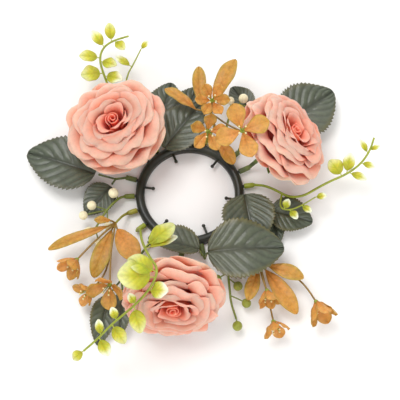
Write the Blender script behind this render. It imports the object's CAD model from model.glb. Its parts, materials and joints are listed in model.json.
# %% [markdown]
# A candle ring is a wreath for a table. A dark moulded ring carries short wire stems, and on the
# stems sit silk roses, printed leaves, small soft-plastic blossoms, leafy twigs and berries. The
# working model from the CAD step holds every size and every turning rose head. Here it is loaded
# as a fixed frame, and each leaf, petal and stem is then given its real surface.

# %% Load the frame
import json
import math
import bpy
import numpy as np
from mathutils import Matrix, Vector

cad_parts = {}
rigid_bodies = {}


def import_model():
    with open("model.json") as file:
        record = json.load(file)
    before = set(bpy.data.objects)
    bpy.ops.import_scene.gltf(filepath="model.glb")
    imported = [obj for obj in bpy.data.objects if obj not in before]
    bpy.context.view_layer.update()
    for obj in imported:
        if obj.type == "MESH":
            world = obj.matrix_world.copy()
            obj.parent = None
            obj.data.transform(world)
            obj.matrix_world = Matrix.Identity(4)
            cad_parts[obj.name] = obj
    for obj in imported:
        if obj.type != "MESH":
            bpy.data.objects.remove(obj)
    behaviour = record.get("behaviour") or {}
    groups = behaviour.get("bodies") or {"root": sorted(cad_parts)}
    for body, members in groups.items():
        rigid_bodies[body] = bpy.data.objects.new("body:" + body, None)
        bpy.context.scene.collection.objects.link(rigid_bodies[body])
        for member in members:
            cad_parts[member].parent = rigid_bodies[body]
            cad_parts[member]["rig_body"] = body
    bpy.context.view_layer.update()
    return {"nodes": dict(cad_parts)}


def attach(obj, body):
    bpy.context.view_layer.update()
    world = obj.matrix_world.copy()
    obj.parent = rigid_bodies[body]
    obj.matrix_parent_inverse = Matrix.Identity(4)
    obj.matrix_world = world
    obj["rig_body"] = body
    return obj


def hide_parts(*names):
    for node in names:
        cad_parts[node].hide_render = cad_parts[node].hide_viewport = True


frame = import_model()
nodes = frame["nodes"]

# %% [markdown]
# The view comes first. The object is seen from high above its front edge, from a little more than
# a metre away, with a long lens, so the ring reads as a circle that is only a little flattened.

# %% Camera and light
VIEW_CENTRE = np.array([0.0103, -0.0054, 0.0])
VIEW_DISTANCE, VIEW_ELEVATION = 1.2, math.radians(70)
VIEW_WIDTH = 0.4  # metres across the picture at the centre
SENSOR_MM = 36.0
LAMPS = (("key", (-0.45, 0.45, 1.55), 14.0, 0.8),
         ("fill", (0.35, -1.15, 0.9), 8.0, 1.0),
         ("rim", (0.3, 1.1, 0.7), 3.0, 0.8))  # name, place, watts, size in metres


def look_at(thing, eye, target):
    """Turns an object at eye so that its own -Z runs along the line from eye to target."""
    thing.location = Vector(eye)
    thing.rotation_euler = (Vector(target) - Vector(eye)).to_track_quat("-Z", "Y").to_euler()


camera_data = bpy.data.cameras.new("camera")
camera_data.sensor_width = SENSOR_MM
camera_data.lens = SENSOR_MM * VIEW_DISTANCE / VIEW_WIDTH
camera = bpy.data.objects.new("camera", camera_data)
bpy.context.scene.collection.objects.link(camera)
sight = np.array([0, -math.cos(VIEW_ELEVATION), math.sin(VIEW_ELEVATION)])
look_at(camera, VIEW_CENTRE + VIEW_DISTANCE * sight, VIEW_CENTRE)
bpy.context.scene.camera = camera

for name, eye, power, size in LAMPS:
    lamp_data = bpy.data.lights.new(name, "AREA")
    lamp_data.energy, lamp_data.size = power, size
    lamp = bpy.data.objects.new(name, lamp_data)
    bpy.context.scene.collection.objects.link(lamp)
    look_at(lamp, eye, (0, 0, 0.03))

world = bpy.data.worlds.new("studio")
bpy.context.scene.world = world
world.use_nodes = True
sky = world.node_tree.nodes["Background"]
sky.inputs["Color"].default_value = (1.0, 1.0, 1.0, 1.0)
sky.inputs["Strength"].default_value = 0.72
bpy.context.scene.view_settings.view_transform = "Standard"

# %% [markdown]
# Colours are picked as sRGB hex values, as on a dye card, but Blender works in linear light, so
# one function turns them. Every material is then built from a Principled shader with a handful of
# nodes around it, all added by one small helper.


# %% Colour and node helpers
def linear(code):
    """sRGB hex to linear: each channel c becomes c/12.92 below 0.04045, else ((c+0.055)/1.055)^2.4."""
    c = np.array([int(code[i:i + 2], 16) for i in (1, 3, 5)]) / 255
    return np.where(c <= 0.04045, c / 12.92, ((c + 0.055) / 1.055) ** 2.4)


def rgba(code):
    """The same colour with full opacity, as the shader sockets want it."""
    return (*linear(code), 1.0)


def add(tree, kind, links=(), **settings):
    """Adds a shader node. Settings set its own values, or an input's value when named in_<input>;
    links are (input, socket) pairs."""
    node = tree.nodes.new(kind)
    for key, value in settings.items():
        if key.startswith("in_"):
            entry = key[3:]
            node.inputs[int(entry) if entry.isdigit() else entry.replace("_", " ")].default_value = value
        else:
            setattr(node, key, value)
    for socket, source in links:
        tree.links.new(source, node.inputs[socket])
    return node


def new_material(name, roughness, specular, sheen=0.0, glow=0.0, coat=0.0):
    """A Principled material; glow is the subsurface share, for light that spreads in thin cloth."""
    material = bpy.data.materials.new(name)
    material.use_nodes = True
    shader = material.node_tree.nodes["Principled BSDF"]
    for entry, value in (("Roughness", roughness), ("Specular IOR Level", specular),
                         ("Sheen Weight", sheen), ("Sheen Roughness", 0.4), ("Coat Weight", coat),
                         ("Subsurface Weight", glow), ("Subsurface Radius", (1.0, 0.35, 0.25)),
                         ("Subsurface Scale", 0.006)):
        shader.inputs[entry].default_value = value
    return material, material.node_tree, shader


# %% [markdown]
# Rose petals are polyester silk: a plain weave, dyed in the piece from deep coral at the base to
# pale pink at the rim, cut with a die and pressed hot. The dye gradient is painted on the mesh as
# an attribute, because it follows each petal. The threads are only about 0.2 mm apart, too fine
# to show, so the weave bump is drawn at 0.9 mm with a soft mottling from the dye bath.


# %% Materials that follow a painted tint
WAVE_MM = 314.16  # scale times period in mm, for the wave texture


def tinted_cloth(name, roughness, specular, weave_mm, weave_depth, mottle_mm, mottle,
                 sheen=0.0, glow=0.0, coat=0.0):
    """Cloth coloured by the attribute 'tint', mottled by noise, with a woven bump on the UV map,
    which is in metres along and across the piece. Two threads make one period of the weave."""
    material, tree, shader = new_material(name, roughness, specular, sheen, glow, coat)
    tint = add(tree, "ShaderNodeAttribute", attribute_name="tint")
    place = add(tree, "ShaderNodeTexCoord")
    patches = add(tree, "ShaderNodeTexNoise", [("Vector", place.outputs["Object"])],
                  in_Scale=1000 / mottle_mm, in_Detail=4.0, in_Roughness=0.6)
    level = add(tree, "ShaderNodeMapRange", [("Value", patches.outputs["Fac"])],
                in_1=0.3, in_2=0.7, in_3=1.0 - mottle, in_4=1.0 + mottle)
    shade = add(tree, "ShaderNodeVectorMath", [(0, tint.outputs["Color"]), ("Scale", level.outputs["Result"])],
                operation="SCALE")
    tree.links.new(shade.outputs["Vector"], shader.inputs["Base Color"])
    warp, weft = (add(tree, "ShaderNodeTexWave", [("Vector", place.outputs["UV"])], bands_direction=axis,
                      in_Scale=WAVE_MM / weave_mm / 2, in_Distortion=0.6, in_Detail=1.0) for axis in "XY")
    both = add(tree, "ShaderNodeMath", [(0, warp.outputs["Fac"]), (1, weft.outputs["Fac"])],
               operation="MULTIPLY")
    bump = add(tree, "ShaderNodeBump", [("Height", both.outputs["Value"])], in_Strength=0.35,
               in_Distance=weave_depth / 1000)
    creases = add(tree, "ShaderNodeTexNoise", [("Vector", place.outputs["Object"])],
                  in_Scale=260.0, in_Detail=3.0)
    crumple = add(tree, "ShaderNodeBump",
                  [("Height", creases.outputs["Fac"]), ("Normal", bump.outputs["Normal"])],
                  in_Strength=0.25, in_Distance=0.0012)
    tree.links.new(crumple.outputs["Normal"], shader.inputs["Normal"])
    return material


petal_silk = tinted_cloth("dyed_polyester_silk", roughness=0.75, specular=0.25, weave_mm=0.9,
                          weave_depth=0.12, mottle_mm=6.0, mottle=0.07, sheen=0.2, glow=0.55)
leaf_print = tinted_cloth("printed_polyester_leaf", roughness=0.42, specular=0.5, weave_mm=0.8,
                          weave_depth=0.05, mottle_mm=5.0, mottle=0.22, sheen=0.1, coat=0.15)
blossom_tint = tinted_cloth("hand_tinted_polyethylene", roughness=0.5, specular=0.45, weave_mm=3.0,
                            weave_depth=0.02, mottle_mm=4.0, mottle=0.2, glow=0.15)
twig_tint = tinted_cloth("soft_polyethylene_leaf", roughness=0.48, specular=0.45, weave_mm=3.0,
                         weave_depth=0.02, mottle_mm=4.0, mottle=0.12, glow=0.2)
wire_tint = tinted_cloth("polyethylene_over_wire", roughness=0.46, specular=0.5, weave_mm=4.0,
                         weave_depth=0.02, mottle_mm=5.0, mottle=0.18)

# %% [markdown]
# The ring, the sepals and the stems of roses and leaves are moulded polyethylene. Their shapes
# are right in the CAD, so those nodes stay and only get a finish: a colour that drifts over a few
# millimetres, a waxy gloss and the fine orange-peel bump that moulded parts have.


# %% Moulded plastics for the nodes that stay
GRAIN_DEPTH = 0.00015  # metres


def moulded(name, low, high, roughness, drift_mm, grain_mm):
    """Moulded plastic: noise of drift_mm mixes two colours, and a finer noise gives the skin its grain."""
    material, tree, shader = new_material(name, roughness, 0.45)
    place = add(tree, "ShaderNodeTexCoord")
    drift, grain = (add(tree, "ShaderNodeTexNoise", [("Vector", place.outputs["Object"])],
                        in_Scale=1000 / size, in_Detail=detail)
                    for size, detail in ((drift_mm, 3.0), (grain_mm, 2.0)))
    ramp = add(tree, "ShaderNodeValToRGB", [("Fac", drift.outputs["Fac"])])
    for stop, position, code in zip(ramp.color_ramp.elements, (0.35, 0.65), (low, high)):
        stop.position, stop.color = position, rgba(code)
    tree.links.new(ramp.outputs["Color"], shader.inputs["Base Color"])
    bump = add(tree, "ShaderNodeBump", [("Height", grain.outputs["Fac"])], in_Strength=0.4,
               in_Distance=GRAIN_DEPTH)
    tree.links.new(bump.outputs["Normal"], shader.inputs["Normal"])
    return material


FINISHES = {"ring_frame": moulded("black_green_polyethylene", "#171812", "#2b2d20", 0.38, 14.0, 1.6),
            "stem": moulded("leaf_green_polyethylene", "#434c2c", "#6c7a3a", 0.5, 9.0, 1.2),
            "calyx": moulded("bright_green_polyethylene", "#35510d", "#6f9a2a", 0.42, 7.0, 1.4)}
for name, node in nodes.items():
    for ending, plastic in FINISHES.items():
        if name.endswith(ending):
            node.data.materials.clear()
            node.data.materials.append(plastic)

# %% [markdown]
# Every new piece is a set of grids of points, worked out with numpy from two parameters. One
# function turns the grids into a mesh: it lays them one after another and stores the tint and a
# UV map in metres. A petal or leaf is an open sheet, and a Solidify modifier then gives the real
# thickness of the cloth and closes the rim.


# %% Mesh builder
TABLE_CLEARANCE = 0.0006  # metres; what would reach under the table lies on it


def lengths(line):
    """Distance along a line of points: the running sum of the steps, from 0."""
    return np.concatenate([[0], np.cumsum(np.linalg.norm(np.diff(line, axis=0), axis=1))])


def add_piece(name, grids, faces, uvs, uv_name, material, stands_for, thickness_mm=0.0):
    """grids is a list of (points[n, m, 3] in mm, tint[n, m, 3] linear), and uvs one [n * m, 2] array
    in mm for each. faces number the points of all grids in turn."""
    points = np.concatenate([grid.reshape(-1, 3) for grid, _ in grids]) / 1000
    tints = np.concatenate([tint.reshape(-1, 3) for _, tint in grids])
    uvs = np.concatenate(uvs) / 1000
    points[:, 2] = np.maximum(points[:, 2], TABLE_CLEARANCE)
    mesh = bpy.data.meshes.new(name)
    mesh.from_pydata(points, [], faces)
    mesh.shade_smooth()
    colour = mesh.attributes.new("tint", "FLOAT_COLOR", "POINT")
    opaque = np.hstack([tints, np.ones((len(tints), 1))])
    colour.data.foreach_set("color", opaque.astype(np.float32).ravel())
    corners = np.empty(len(mesh.loops), np.int32)
    mesh.loops.foreach_get("vertex_index", corners)
    mesh.uv_layers.new(name=uv_name).data.foreach_set("uv", uvs[corners].astype(np.float32).ravel())
    piece = bpy.data.objects.new(name, mesh)
    bpy.context.scene.collection.objects.link(piece)
    mesh.materials.append(material)
    if thickness_mm:
        wall = piece.modifiers.new("thickness", "SOLIDIFY")
        wall.thickness, wall.offset = thickness_mm / 1000, 0.0
    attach(piece, nodes[stands_for]["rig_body"])
    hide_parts(stands_for)
    return piece


def sheet_piece(name, sheets, material, thickness_mm, stands_for):
    """Open sheets in one mesh: faces join each grid point with its next neighbours both ways."""
    faces, uvs, start = [], [], 0
    for grid, _ in sheets:
        n, m = grid.shape[:2]
        index = start + np.arange(n * m).reshape(n, m)
        quads = np.stack([index[:-1, :-1], index[1:, :-1], index[1:, 1:], index[:-1, 1:]], -1)
        faces += quads.reshape(-1, 4).tolist()
        sides = np.meshgrid(lengths(grid[:, m // 2]), lengths(grid[n // 2]), indexing="ij")
        uvs.append(np.stack(sides, -1).reshape(-1, 2))
        start += n * m
    return add_piece(name, sheets, faces, uvs, "cloth", material, stands_for, thickness_mm)


def round_piece(name, skins, material, stands_for):
    """Closed round skins in one mesh: faces join neighbours around and along, and a flat cap closes
    each end."""
    faces, uvs, start = [], [], 0
    for grid, _ in skins:
        n, m = grid.shape[:2]
        index = start + np.arange(n * m).reshape(n, m)
        following = np.roll(index, -1, 1)
        quads = np.stack([index[:-1], following[:-1], following[1:], index[1:]], -1)
        faces += quads.reshape(-1, 4).tolist() + [index[0][::-1].tolist(), index[-1].tolist()]
        sides = np.meshgrid(lengths(grid.mean(1)), np.arange(m) * 0.5, indexing="ij")
        uvs.append(np.stack(sides, -1).reshape(-1, 2))
        start += n * m
    return add_piece(name, skins, faces, uvs, "skin", material, stands_for)


# %% [markdown]
# Each flower is worked out upright round +Z and then leaned over and carried to its place. All
# turns come from one small matrix, and all dye gradients from one smooth step.


# %% Turning and mixing
def rotation(axis, angle):
    """Matrix that turns by angle about axis 0, 1 or 2: cosines for the two other axes, sines across."""
    first, second = (axis + 1) % 3, (axis + 2) % 3
    matrix = np.eye(3)
    matrix[first, first] = matrix[second, second] = math.cos(angle)
    matrix[second, first] = math.sin(angle)
    matrix[first, second] = -math.sin(angle)
    return matrix


def placed(points, centre, tilt, heading):
    """Leans points so that their +Z tilts by tilt degrees towards heading, then moves them to centre."""
    lean = rotation(2, math.radians(heading)) @ rotation(1, math.radians(tilt))
    return points @ lean.T + np.array(centre, float)


def smooth(x, low, high):
    """0 below low, 1 above high, and an S curve between."""
    u = np.clip((x - low) / (high - low), 0, 1)
    return u * u * (3 - 2 * u)


def mix(a, b, share):
    """a where share is 0, b where it is 1, and the straight blend between."""
    return a + (b - a) * share[..., None]


# %% [markdown]
# Stems are wire in a moulded plastic skin. On the real ring they bend softly, so each is a round
# profile carried along a rounded route. The corners of the route are cut three times, which turns
# the frame's straight stretches into one smooth line. The thick end is the socket on its peg.


# %% Wires, hubs and berries
PEG_HEIGHT, SOCKET_END = 4.5, 65.5
SOCKET_AT, SOCKET_RADII = (55.0, 55.4, 60.0, 63.5, 65.2), (2.1, 2.6, 2.6, 2.5, 1.7)


def rounded(path, times=3):
    """Cuts each corner: every stretch is replaced by its points at one and three quarters."""
    path = np.array(path, float)
    for _ in range(times):
        near, far = 0.75 * path[:-1] + 0.25 * path[1:], 0.25 * path[:-1] + 0.75 * path[1:]
        path = np.concatenate([path[:1], np.stack([near, far], 1).reshape(-1, 3), path[-1:]])
    return path


def round_skin(path, radii, tint, sides=14):
    """Circles of the given radii, square to the path. The side vector is the cross product of the
    path's direction with the axis that the path follows least."""
    path = np.array(path, float)
    radii = np.broadcast_to(np.array(radii, float), (len(path),))
    d = np.gradient(path, axis=0)
    d /= np.linalg.norm(d, axis=1)[:, None]
    side = np.cross(d, np.eye(3)[np.abs(d).max(0).argmin()])
    side /= np.linalg.norm(side, axis=1)[:, None]
    other = np.cross(d, side)
    a = np.linspace(0, 2 * math.pi, sides, endpoint=False)[None, :, None]
    points = path[:, None] + radii[:, None, None] * (np.cos(a) * side[:, None] + np.sin(a) * other[:, None])
    return points, np.broadcast_to(tint, points.shape)


def ball(centre, r, tint, squash=1.0, sides=20):
    """Round skin along a short upright line: radius r sin(a) at height -r cos(a)."""
    a = np.linspace(0.12, math.pi - 0.12, 15)
    path = np.array(centre, float) + np.stack([0 * a, 0 * a, -r * squash * np.cos(a)], 1)
    return round_skin(path, r * np.sin(a), tint, sides)


def peg_point(angle, r):
    """Point on a peg's axis, at angle degrees round the ring and r from its middle."""
    return np.array([r * math.cos(math.radians(angle)), r * math.sin(math.radians(angle)), PEG_HEIGHT])


def stem_route(angle, path):
    """Smooth line from the socket of the peg at this angle along the path."""
    return rounded([peg_point(angle, SOCKET_END), *path])


def socket_and_stem(angle, path, r, tint):
    """Socket on the peg at this angle, then a stem that tapers along its route."""
    route = stem_route(angle, path)
    line = np.concatenate([[peg_point(angle, x) for x in SOCKET_AT], route[1:]])
    radii = np.concatenate([SOCKET_RADII, np.linspace(r * 1.1, r * 0.8, len(route) - 1)])
    return round_skin(line, radii, tint)


# %% [markdown]
# A rose head is built as the maker wires it: rings of petals on one pin, each ring smaller and
# steeper than the one below. A petal's side view is a line whose angle from the axis changes
# along its length: it starts flat, stands up as a cup, and at the rim rolls over outwards.
# Seen along the axis each petal takes a sector that overlaps the next, like tiles in a spiral.

# %% One rose petal
CORAL_DEEP, CORAL, PINK, PALE, CREAM = (
    linear(c) for c in ("#ee3f2a", "#f26449", "#f5866d", "#f9b29f", "#ecc5a0"))
ALONG, ACROSS = 34, 27
HUB_R, HEAD_R = 2.0, 52.0
HEAD_SPACE, HEAD_TAPER = 51.0, 0.55


def rose_petal(rim_r, low, rise, azimuth, half_sector, angles, seed, tone, squeeze, long_axis):
    """Petal around +Z. angles lists (share of length, degrees from +Z) of the side line; the line is
    the running sum of its direction, stretched so that it spans rim_r across and rise up. The sector
    is widest at three quarters, the rim is cut round, and waves and a roll grow towards the rim.
    No point reaches past the space the head turns in: HEAD_SPACE from the axis, less HEAD_TAPER for
    each mm below the middle."""
    rng = np.random.default_rng(seed)
    t = np.linspace(-1, 1, ACROSS)[None, :]
    notch = 0.035 * np.exp(-(t / 0.14) ** 2)
    outline = 1 - 0.24 * np.abs(t) ** 3 - notch + 0.018 * np.sin(8 * t + rng.uniform(0, 6))
    s = np.linspace(0, 1, ALONG)[:, None] ** 0.85 * outline
    knots, degrees = zip(*angles)
    roll_side = 1 + 0.30 * (np.abs(t) ** 1.5 - 0.35) + 0.10 * rng.uniform(-1, 1) * t
    angle, roll_start = np.interp(s, knots, degrees), degrees[-3]
    rolled = roll_start + (angle - roll_start) * roll_side
    angle = np.radians(np.where(angle > roll_start, rolled, angle))
    step = np.diff(s, axis=0, prepend=0)
    out, up = np.cumsum(np.sin(angle) * step, 0), np.cumsum(np.cos(angle) * step, 0)
    middle = ACROSS // 2
    r = HUB_R + (rim_r - HUB_R) * out / out[:, middle].max()
    z = low + rise * up / up[:, middle].max()
    size = rim_r / HEAD_R
    waves = rng.uniform(0.9, 1.7), rng.uniform(0, 6.28), rng.uniform(0, 6.28)
    grow = smooth(s, 0.25, 1.0) ** 2 * size ** 0.5
    r = r + grow * (1.5 + 1.2 * size) * np.sin(waves[0] * 3.1 * t + waves[1])
    z = z + grow * (1.2 + 1.2 * size) * np.sin(waves[0] * 4.3 * t + waves[2])
    r = r + 1.5 * t * smooth(s, 0.05, 0.5) * (0.6 + 0.4 * size) + 0.5 * size
    sector = math.radians(half_sector) * (0.72 + 0.28 * smooth(s, 0.0, 0.6))
    around = math.radians(azimuth) + sector * t
    flat = 1 + 0.16 * (1 / np.cos(np.clip(sector * t, -0.9, 0.9)) - 1)
    oval = 1 + squeeze * np.cos(2 * (around - math.radians(long_axis)))
    reach = np.minimum(r * flat * oval, HEAD_SPACE + HEAD_TAPER * np.minimum(z, 0))
    points = np.stack([reach * np.cos(around), reach * np.sin(around), z], -1)
    tint = mix(CORAL_DEEP, CORAL, smooth(s, 0.15, 0.5))
    tint = mix(tint, PINK, smooth(s, 0.4, 0.74) * tone)
    tint = mix(tint, PALE, smooth(s, 0.72, 0.97) * tone)
    tint = mix(tint, CREAM, smooth(s, 0.85, 1.0) * smooth(tone, 0.93, 1.1) * 0.5)
    return points, tint


# %% [markdown]
# The petal rings follow the frame's own layers, so each head still turns inside its own space.
# Each layer is one piece, of one or two rings. The heart is small petals that stand steep round
# the pin, with a sheet wound into a cone in their middle, so that looking into the flower shows a
# swirl.

# %% Rose heads
OPEN = [(0, 86), (0.30, 76), (0.62, 58), (0.76, 66), (0.88, 92), (1, 130)]
WIDE = [(0, 76), (0.28, 56), (0.60, 30), (0.74, 52), (0.86, 98), (1, 150)]
CUPPED = [(0, 64), (0.26, 38), (0.62, 10), (0.75, 34), (0.87, 95), (1, 158)]
STEEP = [(0, 50), (0.30, 20), (0.70, 3), (0.84, 22), (0.93, 70), (1, 120)]
# layer: [(rim radius, hub height, rise, turn, petals, half sector, side line, tone, squeeze)]
LAYERS = {
    "outer_petals": [(49.6, -16.9, 14.0, 0, 5, 40, OPEN, 1.05, 0.0),
                     (47.4, -16.3, 19.5, 36, 5, 40, OPEN, 1.0, 0.0)],
    "spread_petals": [(43.5, -15.6, 26.0, 14, 5, 43, WIDE, 1.0, 0.03)],
    "cup_petals": [(37.0, -14.6, 30.0, 48, 5, 44, CUPPED, 1.0, 0.05),
                   (31.8, -13.8, 33.0, 4, 4, 54, CUPPED, 0.97, 0.09)],
    "inner_petals": [(27.0, -13.0, 35.0, 20, 4, 56, CUPPED, 0.92, 0.12),
                     (20.0, -12.0, 33.5, 70, 3, 66, STEEP, 0.8, 0.16)],
    "bud": [(13.0, -10.4, 31.0, 20, 3, 72, STEEP, 0.65, 0.18)]}
# rose: centre, tilt, heading, seed, long axis of its oval heart
ROSES = {"left": ((-72, 55, 46), 8, 175, 11, 50), "right": ((92, 40, 50), 40, 18, 37, 100),
         "front": ((-15, -119, 48), 62, 273, 71, 80)}


def rolled_core(rim_r, low, high, turns, tone):
    """A sheet wound into a cone round the axis: radius grows with the winding angle, and the top
    edge leans outwards and dips once a turn."""
    u = np.linspace(0, 1, 70)[:, None]
    v = np.linspace(0, 1, 14)[None, :]
    around = u * turns * 2 * math.pi
    r = (0.7 + (rim_r - 0.7) * u) * (0.55 + 0.45 * smooth(v, 0, 0.5)) + 0.9 * smooth(v, 0.8, 1.0)
    z = low + (high - low - 2.2 * u + 0.6 * np.sin(around * 1.5)) * v
    points = np.stack([r * np.cos(around), r * np.sin(around), z], -1)
    share = v + 0 * u
    tint = mix(CORAL_DEEP, CORAL, smooth(share, 0.4, 0.9))
    return points, mix(tint, PALE, smooth(share, 0.86, 1.0) * tone)


def petal_ring(suffix, ring, seed, long_axis):
    """Petals of one ring at even turns, each wandering a little in reach, rise and turn."""
    rim_r, low, rise, turn, count, half, line, tone, squeeze = LAYERS[suffix][ring]
    sheets = []
    for k in range(count):
        wander = np.random.default_rng(seed * 100 + k * 7 + ring * 31 + len(suffix)).uniform(-1, 1, 3)
        sheets.append(rose_petal(
            rim_r * (1 + 0.02 * wander[0]), low + 0.25 * k, rise * (1 + 0.05 * wander[1]),
            turn + seed + 360 / count * k + 5 * wander[2], half, line,
            seed * 1000 + k + ring * 50, tone, squeeze, long_axis))
    return sheets


for rose, (centre, tilt, heading, seed, long_axis) in ROSES.items():
    total = 0
    for suffix, rings in LAYERS.items():
        sheets = [petal for ring in range(len(rings)) for petal in petal_ring(suffix, ring, seed, long_axis)]
        if suffix == "bud":
            sheets.append(rolled_core(6.5, -8.0, 20.5, 2.2, 0.5))
        sheets = [(placed(points, centre, tilt, heading), tint) for points, tint in sheets]
        total += len(sheets)
        sheet_piece(f"silk_{rose}_{suffix}", sheets, petal_silk, 0.4,
                    f"rose_{rose}_{suffix}")
    print("rose", rose, "has", total, "sheets")

# %% [markdown]
# A leaf is polyester cloth, printed with a vein pattern and pressed in a hot die. The die leaves
# the surface puffed between the side veins, and the edge is cut in small teeth. Its midrib lies on
# the same arc as the CAD blade: chord, bend, fold and roll all come from there.


# %% One leaf or petal blade
SIDE_VEIN_SLANT, RIB_HALF_MM = 0.45, 0.9


def blade(base, tip, width, bend, fold, roll, form, veins, vein_count, wave, seed, n, m,
          teeth=0.0, tooth_count=16):
    """Grid along s from base to tip and across t. Half width is width/2 times
    0.07+0.93 sin(180 s^p)^q; the midrib is an arc of angle bend over the chord; the halves lift by
    the fold angle; veins add |sin| puffs between slanting side veins, and teeth a saw to the edge.
    Gives the points, s, |t|, the puffs and the rib."""
    rng = np.random.default_rng(seed)
    base, tip = np.array(base, float), np.array(tip, float)
    d = tip - base
    chord = np.linalg.norm(d)
    s, t = np.linspace(0, 1, n)[:, None], np.linspace(-1, 1, m)[None, :]
    shape = np.where(s >= 1, 0.02, 0.07 + 0.93 * np.sin(np.pi * s ** form[0]) ** form[1])
    saw = 1 - ((s * tooth_count + 0.25 * np.sign(t)) % 1)
    half = width / 2 * shape * (1 + teeth * (0.5 - saw) * smooth(np.abs(t), 0.8, 1.0))
    b = math.radians(bend)
    a = b * (0.5 - s)
    radius = chord / (2 * math.sin(b / 2))
    x, z = radius * (math.sin(b / 2) - np.sin(a)), radius * (np.cos(a) - math.cos(b / 2))
    slant = vein_count * (s - SIDE_VEIN_SLANT * np.abs(t) * width / chord)
    puff = np.abs(np.sin(np.pi * slant)) ** 0.7 * (1 - np.abs(t) ** 5) * smooth(np.abs(t), 0.02, 0.22)
    rib = np.exp(-(t * half / RIB_HALF_MM) ** 2)
    phase = s * rng.uniform(1.4, 2.2) + rng.uniform(0, 1)
    ripple = wave * np.sin(2 * np.pi * phase + t) * t ** 2
    lift = np.abs(t) ** 1.15 * half * math.tan(math.radians(fold)) + veins * (puff - 0.7 * rib) + ripple
    points = np.stack([x - np.sin(a) * lift, half * t, z + np.cos(a) * lift], -1)
    rise, heading = math.atan2(d[2], math.hypot(d[0], d[1])), math.atan2(d[1], d[0])
    turn = rotation(2, heading) @ rotation(1, -rise) @ rotation(0, math.radians(roll))
    return points @ turn.T + base, s + 0 * t, np.abs(t) + 0 * s, puff, rib


ROSE_LEAF, LONG_LEAF, SPOON, OVAL = (0.75, 0.75), (1.3, 0.65), (1.6, 0.6), (0.95, 0.7)
LEAF_DARK, LEAF_MID, LEAF_RIB, LEAF_WARM = (linear(c) for c in ("#30362a", "#4b5341", "#272c1f", "#5f5a30"))


def leaf_tint(s, t, puff, rib, warm):
    """Dark in the veins, lighter on the puffs, darkest on the rib, warmer at the edge and the base."""
    tint = mix(LEAF_DARK, LEAF_MID, 0.25 + 0.75 * puff)
    tint = mix(tint, LEAF_RIB, np.clip(rib, 0, 1) * 0.8)
    return mix(tint, LEAF_WARM, warm * smooth(t, 0.75, 1.0) + 0.25 * warm * (1 - s))


# leaf: base, tip, width, bend, fold, roll
LEAVES = {
    "left_leaf_big": ((-94, 17, 15), (-163, 42, 8), 56, 24, 8, 0),
    "left_leaf_small": ((-79, 7, 6), (-103, -22, 4), 32, 16, 8, 0),
    "top_leaf_wide": ((-25, 43, 19), (12, 90, 24), 46, 20, 6, -6),
    "top_leaf_upper": ((-30, 70, 14), (-19, 115, 18), 38, 20, 12, 0),
    "top_leaf_lower": ((-14, 68, 8), (9, 113, 12), 36, 20, 12, 0),
    "corner_leaf_big": ((98, 72, 11), (146, 108, 13), 60, 18, 5, 0),
    "corner_leaf_small": ((60, 86, 14), (43, 113, 12), 26, 24, 14, 0),
    "right_leaf_upper": ((54, -7, 20), (63, -60, 18), 52, 26, 8, 0),
    "right_leaf_outer": ((80, -20, 11), (121, -32, 9), 36, 20, 8, 0),
    "right_leaf_hidden": ((78, -15, 5), (88, -52, 5), 24, 16, 8, 0),
    "front_leaf_big": ((18, -69, 30), (91, -64, 26), 60, 34, 5, 0),
    "front_leaf_folded": ((9, -63, 18), (-40, -52, 20), 34, 20, 24, 22),
    "low_leaf_long": ((-78, -107, 9), (-87, -155, 5), 26, 14, 12, 0),
    "low_leaf_short": ((-64, -104, 14), (-66, -148, 12), 20, 14, 8, 0)}

for seed, (name, spec) in enumerate(LEAVES.items()):
    points, s, t, puff, rib = blade(*spec, ROSE_LEAF, veins=spec[2] * 0.018, vein_count=7,
                                    wave=spec[2] * 0.010, seed=seed, n=96, m=49, teeth=0.10, tooth_count=18)
    sheet_piece(f"printed_{name}", [(points, leaf_tint(s, t, puff, rib, 0.3 + 0.05 * seed))],
                leaf_print, 0.45, name)
print(len(LEAVES), "printed leaves")

# %% [markdown]
# The blossoms are moulded in soft polyethylene and tinted by hand: orange at the heart, ochre
# further out and olive at the edge. Spoon-shaped petals with a thin base widen near the tip, cup
# upwards and carry fine lengthways veins. Their long leaves are tinted in the same way.

# %% Blossom sprays
ORANGE, APRICOT, OCHRE, OLIVE, BROWN = (
    linear(c) for c in ("#cf7f36", "#d99a50", "#b38d35", "#9f9530", "#75581f"))
STEM_BROWN, STEM_OLIVE, HUB_GREEN, POLLEN = (linear(c) for c in ("#8a6a26", "#8f8a2c", "#8c9a2e", "#e6d9a0"))


def spray_tint(s, t, puff, shade, orange):
    """Orange to apricot along s, ochre with distance and shade, olive at the edge, brown in veins;
    shade shifts a piece along the dye range."""
    tint = mix(ORANGE, OCHRE, 0.55 * shade + 0 * s)
    tint = mix(tint, APRICOT, smooth(s, 0.1, 0.7) * orange)
    tint = mix(tint, OCHRE, smooth(s, 0.2, 0.9) * shade)
    tint = mix(tint, OLIVE, smooth(t, 0.55, 1.0) * shade * 0.8)
    return mix(tint, BROWN, (1 - puff) * 0.25 * (1 - s) + 0.12 * shade)


def floret(centre, tilt, heading, count, length, lift, seed):
    """Spoon petals set evenly round the hub, each a blade that bends over at its tip."""
    rng = np.random.default_rng(seed)
    sheets, rise = [], math.radians(lift)
    width = length * (0.68 if count < 5 else 0.60)
    tip = (length * math.cos(rise), 0, length * math.sin(rise))
    for k in range(count):
        bend, roll = -34 + 6 * rng.uniform(-1, 1), 6 * rng.uniform(-1, 1)
        points, s, t, puff, _ = blade((2.2, 0, 0.6), tip, width, bend, 18, roll, SPOON, veins=0.35,
                                      vein_count=5, wave=0.7, seed=seed * 10 + k, n=34, m=23)
        points = points @ rotation(2, math.radians(360 / count * k + 20)).T
        tint = spray_tint(s, t, puff, 0.35 * rng.uniform(0.3, 1.6), 0.8)
        sheets.append((placed(points, centre, tilt, heading), tint))
    return sheets


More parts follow.
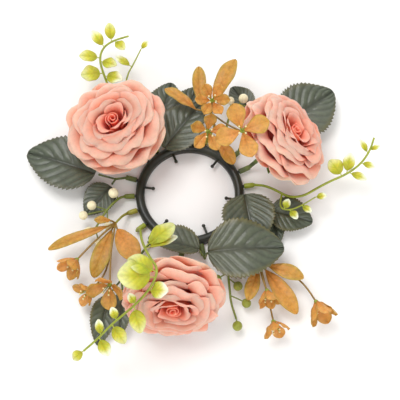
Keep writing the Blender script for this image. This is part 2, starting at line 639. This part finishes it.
STAMEN_MM = 11
STAMEN_LINE = ((0.05, 0.2), (0.5, 0.3), (1.0, 0.4))  # share of length, angle from the axis in radians


def heart(centre, tilt, heading):
    """Hub with four stamens, each a thin wire that leans out more and more, with a pollen bead on it."""
    skins = [ball(centre, 2.3, HUB_GREEN)]
    for k in range(4):
        a = math.radians(90 * k + 45)
        line = STAMEN_MM * np.array([[math.sin(b) * u * math.cos(a), math.sin(b) * u * math.sin(a),
                                      u * math.cos(b)] for u, b in STAMEN_LINE])
        line = placed(line, centre, tilt, heading)
        skins += [round_skin(rounded(line, 2), 0.4, HUB_GREEN, 8), ball(line[-1], 0.95, POLLEN, sides=10)]
    return skins


# spray: the peg's angle, then where the stem forks
FORKS = {"top": (74, (26, 66, 12), (22, 76, 29)), "left": (199, (-66, -27, 14), (-72, -37, 21)),
         "right": (318, (58, -58, 8), (68, -74, 14))}
STALK_BENDS = {"top": [[], [(16, 58, 38)], [(36, 60, 40), (48, 40, 70)]],
               "left": [[(-90, -56, 27)], [(-77, -70, 15), (-82, -90, 17)], [(-75, -70, 34)]],
               "right": [[(69, -92, 26)], [(76, -112, 14)], [(100, -86, 11), (112, -98, 13)]]}
# spray: leaves as base, tip, width, bend, fold, roll, olive share; florets as centre, tilt, heading,
# petals, length, lift
SPRAYS = {
    "top": (
        [((10, 85, 33), (9, 123, 40), 14, 24, 12, 0, 1.0),
         ((24, 86, 33), (46, 130, 42), 18, 24, 14, -12, 0.9),
         ((6, 79, 33), (-25, 99, 38), 12, 30, 14, 10, 0.7),
         ((29, 50, 20), (44, 27, 16), 14, 24, 12, 0, 0.6)],
        [((22, 76, 60), 15, 280, 6, 19, 28), ((18, 47, 52), 35, 280, 5, 21, 24),
         ((50, 32, 88), 18, 270, 4, 27, 10)]),
    "left": (
        [((-79, -41, 23), (-137, -63, 18), 11, 22, 14, 0, 1.0),
         ((-76, -44, 19), (-92, -92, 20), 18, 24, 12, 0, 1.2),
         ((-70, -44, 23), (-50, -79, 30), 22, 24, 12, 0, 0.5),
         ((-77, -36, 26), (-92, -37, 30), 8, 20, 12, 0, 1.0)],
        [((-108, -76, 26), 75, 235, 5, 21, 50), ((-94, -105, 21), 70, 215, 4, 18, 40),
         ((-75, -103, 34), 60, 250, 4, 24, 35)]),
    "right": (
        [((76, -79, 17), (110, -92, 19), 15, 22, 14, 0, 0.9),
         ((74, -82, 12), (103, -126, 13), 18, 20, 14, 0, 0.6),
         ((66, -83, 17), (56, -114, 19), 14, 22, 14, 0, 0.8)],
        [((74, -107, 27), 80, 275, 5, 18, 55), ((80, -135, 18), 80, 285, 4, 18, 45),
         ((121, -116, 20), 80, 290, 5, 24, 55)])}


def stalk(*route):
    """Thin brown wire along a rounded route."""
    return round_skin(rounded(route), 0.9, STEM_BROWN)


for spray, (leaves, florets) in SPRAYS.items():
    angle, *fork = FORKS[spray]
    knot = np.array(fork[1])
    skins, long_leaves = [socket_and_stem(angle, fork, 1.3, STEM_OLIVE)], []
    for k, (*spec, olive) in enumerate(leaves):
        points, s, t, puff, _ = blade(*spec, LONG_LEAF, veins=0.45, vein_count=6, wave=1.0, seed=k + 3,
                                      n=56, m=25)
        long_leaves.append((points, spray_tint(s, t, puff, min(1.0, 0.8 * olive), 0.3)))
        skins.append(stalk(knot, 0.5 * (knot + spec[0]) + (0, 0, 1.5), spec[0]))
    for (centre, tilt, heading, *_), bends in zip(florets, STALK_BENDS[spray]):
        skins += [stalk(knot, *bends, centre), *heart(centre, tilt, heading)]
    petals = [petal for k, spec in enumerate(florets) for petal in floret(*spec, seed=len(spray) * 10 + k)]
    for part, sheets in (("leaves", long_leaves), ("petals", petals)):
        sheet_piece(f"tinted_{spray}_blossom_{part}", sheets, blossom_tint, 0.5,
                    f"{spray}_blossom_{part}")
    round_piece(f"moulded_{spray}_blossom_stem", skins, wire_tint, f"{spray}_blossom_stem")
    print(spray, "spray:", len(leaves), "leaves,", len(petals), "petals,", len(skins), "round parts")

# %% [markdown]
# Twig leaves are small ovals of the same soft plastic, lime at the base and dipped in white at
# the tip. Each has a short stalk that touches the twig, so the blade starts at the twig's own
# radius from the route and narrows there.

# %% Leafy twigs
LEAF_LIME, LEAF_YELLOW, TIP_WHITE = (linear(c) for c in ("#959c18", "#c2c030", "#eef0d8"))
# twig: routes of its stems; leaves as route, place on it, tip, width
TWIGS = {
    "top": (
        [((-58, 72, 10), (-78, 100, 16), (-88, 121, 28), (-92, 136, 32), (-88, 147, 35), (-78, 153, 38),
          (-62, 156, 42)),
         ((-70, 88.8, 13.6), (-64, 121, 24), (-58, 130, 28), (-50, 146, 32))],
        [(0, 2.05, (-110, 118, 30), 18), (0, 1.9, (-68, 112, 32), 14), (0, 3, (-112, 137, 36), 13),
         (0, 2.8, (-74, 126, 36), 12), (0, 4.1, (-100, 163, 40), 11), (0, 4.9, (-82, 170, 44), 11),
         (0, 5.1, (-66, 142, 40), 10), (1, 1.9, (-76, 141, 26), 8), (1, 3, (-42, 154, 36), 6)]),
    "right": (
        [((78, 5, 12), (104, -14, 21), (134, 3, 26), (154, 11, 28), (168, 20, 33), (177, 32, 38),
          (181, 44, 43)),
         ((91, -5, 16.5), (88, -22, 22), (98, -25, 24), (110, -20, 25), (123, -12, 26))],
        [(0, 2.8, (138, 25, 31), 16), (0, 3, (158, 30, 38), 12), (0, 3.2, (174, 6, 27), 8),
         (0, 4.1, (182, 18, 30), 7), (0, 4.8, (167, 42, 43), 6), (0, 5.1, (187, 37, 39), 5),
         (1, 2, (105, -34, 25), 8), (1, 3, (119, -27, 25), 7), (1, 4, (134, -11, 28), 7),
         (1, 1.5, (97, -15, 29), 8)]),
    "front": (
        [((-48, -40, 16), (-46, -58, 40), (-41, -78, 70), (-34, -96, 93), (-28, -105, 98), (-29, -115, 98),
          (-36, -125, 91), (-47, -134, 80), (-59, -141, 69), (-71, -148, 58), (-83, -158, 48),
          (-97, -168, 40))],
        [(0, 1.9, (-14, -50, 54), 17), (0, 2.1, (-11, -60, 50), 10), (0, 5, (-63, -115, 106), 28),
         (0, 4.5, (-54, -100, 106), 18), (0, 6, (-18, -127, 97), 16), (0, 7.2, (-43, -160, 76), 15),
         (0, 7, (-54, -127, 90), 8), (0, 8.6, (-70, -134, 68), 8), (0, 8.9, (-58, -165, 57), 13),
         (0, 9.8, (-83, -142, 55), 8), (0, 10, (-74, -173, 42), 12), (0, 11, (-107, -175, 36), 10)])}

TWIG_PEGS = {"top": 127, "right": 8, "front": 217}
TWIG_GREEN, STALK_GREEN = linear("#8f9a2a"), linear("#a8b03a")



def nearest(curve, point):
    """The point of a curve that lies nearest to the given one."""
    return curve[np.linalg.norm(curve - np.array(point, float), axis=1).argmin()]


for twig, (routes, leaves) in TWIGS.items():
    peg = TWIG_PEGS[twig]
    curves = [stem_route(peg, routes[0])] + [rounded(route) for route in routes[1:]]
    skins = [socket_and_stem(peg, routes[0], 1.2, TWIG_GREEN)]
    skins += [round_skin(curve, np.linspace(0.95, 0.6, len(curve)), TWIG_GREEN) for curve in curves[1:]]
    sheets = []
    for k, (route, at, tip, width) in enumerate(leaves):
        path = np.array(routes[route], float)
        i = min(int(at), len(path) - 2)
        root = nearest(curves[route], path[i] + (path[i + 1] - path[i]) * (at - i))
        reach = np.array(tip, float) - root
        base = root + reach * 0.16
        bow = rounded([root, 0.5 * (root + base) + (0, 0, 0.4), base + reach * 0.03])
        skins.append(round_skin(bow, 0.5, STALK_GREEN, 8))
        points, s, t, puff, _ = blade(base, tip, width, 24, 12, 0, OVAL, veins=0.3, vein_count=5,
                                      wave=0.06 * width, seed=k, n=44, m=23)
        white = 0.9 if width < 9 or k % 3 == 1 else 0.35
        tint = mix(LEAF_LIME, LEAF_YELLOW, smooth(s, 0.1, 0.6) * (0.4 + 0.6 * puff))
        sheets.append((points, mix(tint, TIP_WHITE, smooth(s + 0.25 * t, 0.55, 1.05) * white)))
    sheet_piece(f"dipped_{twig}_twig_leaves", sheets, twig_tint, 0.5, f"{twig}_twig_leaves")
    round_piece(f"moulded_{twig}_twig_stem", skins, wire_tint, f"{twig}_twig_stem")
    print(twig, "twig:", len(sheets), "leaves")

# %% [markdown]
# Berries are small foam balls with a skin, pushed on branched wires. The left pick is cream with
# a green blush, the right pick is green and the top pick cream. A berry is a ball with five low
# lobes that grow towards its top.

# %% Berry picks
CREAM_SKIN, GREEN_SKIN, BERRY_WIRE = linear("#efe6c0"), linear("#8e9332"), linear("#6f7a2c")
# pick: peg angle, skin, route of the stem, berries as centre, radius, place on the stem
BERRIES = {
    "left": (183, CREAM_SKIN, ((-70, -8, 13), (-82, -22, 16), (-92, -40, 14)), [
        ((-75, -5, 19), 5, (-70, -8, 13)), ((-96, -18, 19), 4.6, (-82, -22, 16)),
        ((-104, -28, 18), 4.4, (-82, -22, 16)), ((-80, -37, 12), 4, (-82, -22, 16)),
        ((-98, -44, 15), 5, (-92, -40, 14)), ((-89, -53, 12), 3.8, (-92, -40, 14))]),
    "right": (300, GREEN_SKIN, ((37, -80, 8), (39, -101, 9), (40, -114, 9), (45, -130, 10)), [
        ((27, -90, 9), 4.2, (38, -84, 8.2)), ((47, -97, 8), 4.6, (38, -88, 8.4)),
        ((55, -114, 8), 4.6, (39, -107, 9)), ((46, -137, 10), 4.8, (45, -130, 10))]),
    "top": (58, CREAM_SKIN, ((38, 74, 12), (42, 82, 20), (50, 88, 24)), [
        ((41, 92, 25), 4, (41, 80, 18)), ((54, 93, 28), 4.8, (49, 87, 23.6)), ((60, 86, 23), 3, (50, 88, 24))])}

for pick, (angle, skin, route, berries) in BERRIES.items():
    curve = stem_route(angle, route)
    skins = [socket_and_stem(angle, route, 1.2, BERRY_WIRE)]
    for k, (centre, r, root) in enumerate(berries):
        centre, root = np.array(centre, float), nearest(curve, root)
        bow = rounded([root, 0.5 * (root + centre) + (0, 0, 1.0), centre])
        skins.append(round_skin(bow, 0.65, BERRY_WIRE, 8))
        out = ball(centre, r, skin, 1.05, 30)[0] - centre
        lobes = np.cos(5 * np.arctan2(out[..., 1], out[..., 0]))
        points = centre + out * (1 + 0.035 * lobes * (out[..., 2] / r))[..., None]
        blush = smooth(-out[..., 2] / r + 0.4 * lobes, -0.2, 1.2) * 0.6
        skins.append((points, mix(skin, GREEN_SKIN if k % 3 else LEAF_LIME, blush)))
    round_piece(f"foam_{pick}_berries", skins, wire_tint, f"{pick}_berries")
    print(pick, "berry pick:", len(berries), "berries")

# %% [markdown]
# The table is a plain pale floor, a little rough so that it takes a soft shadow and no mirror
# image. It is the stage, so it isn't counted as part of the object.

# %% Floor and finish
HALF_TABLE, TABLE_TOP = 3.0, -0.0004  # metres
corners = [(-1, -1), (1, -1), (1, 1), (-1, 1)]
floor_mesh = bpy.data.meshes.new("table")
floor_mesh.from_pydata([(HALF_TABLE * x, HALF_TABLE * y, TABLE_TOP) for x, y in corners], [], [(0, 1, 2, 3)])
floor = bpy.data.objects.new("table", floor_mesh)
bpy.context.scene.collection.objects.link(floor)
floor_paper, _, floor_shader = new_material("matt_white_table", 0.9, 0.2)
floor_shader.inputs["Base Color"].default_value = rgba("#f4f3f1")
floor_mesh.materials.append(floor_paper)
